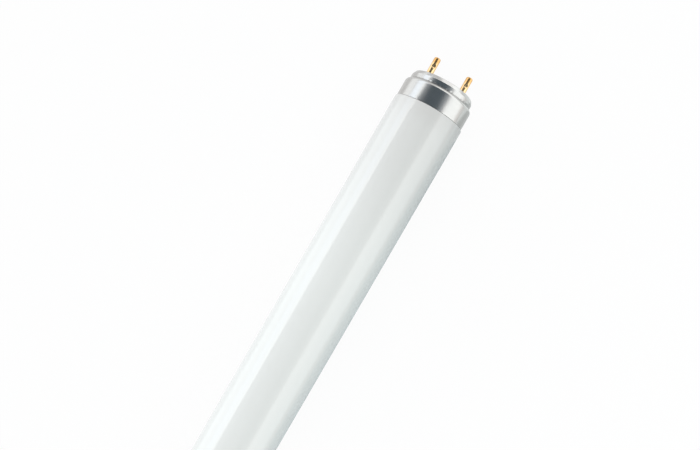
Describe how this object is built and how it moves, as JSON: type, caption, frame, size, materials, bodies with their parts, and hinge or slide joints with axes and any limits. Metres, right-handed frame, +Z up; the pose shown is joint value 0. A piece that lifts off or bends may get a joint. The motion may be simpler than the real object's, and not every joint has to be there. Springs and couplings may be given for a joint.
{
  "type": "fluorescent tube",
  "caption": "Straight white fluorescent tube of sealed coated glass with a stepped aluminium cap and hollow brass contact pins on each end.",
  "frame": {"origin": "middle of the tube on its axis, half way between the two caps", "axes": "+X along the tube towards the right cap, Y along the line through the two pins of each cap, +Z up"},
  "size_m": [0.604, 0.0254, 0.0254],
  "materials": {
    "coated_glass": "clear gloss glass over a matt white inner coating, opaque",
    "cap_aluminium": "bright drawn aluminium with faint turning lines",
    "disc_phenolic": "matt brown laminated board",
    "basing_cement": "matt baked cement",
    "pin_brass": "satin brass",
    "lead_nickel": "nickel wire with a dull weld bead"
  },
  "bodies": {
    "root": {"glass_tube": "coated_glass", "end_cap_right": "cap_aluminium", "end_cap_left": "cap_aluminium", "insulator_right": "disc_phenolic", "insulator_left": "disc_phenolic", "cement_right": "basing_cement", "cement_left": "basing_cement", "contact_pin_right_1": "pin_brass", "contact_pin_right_2": "pin_brass", "contact_pin_left_1": "pin_brass", "contact_pin_left_2": "pin_brass", "lead_wire_right_1": "lead_nickel", "lead_wire_right_2": "lead_nickel", "lead_wire_left_1": "lead_nickel", "lead_wire_left_2": "lead_nickel"}
  },
  "joints": []
}
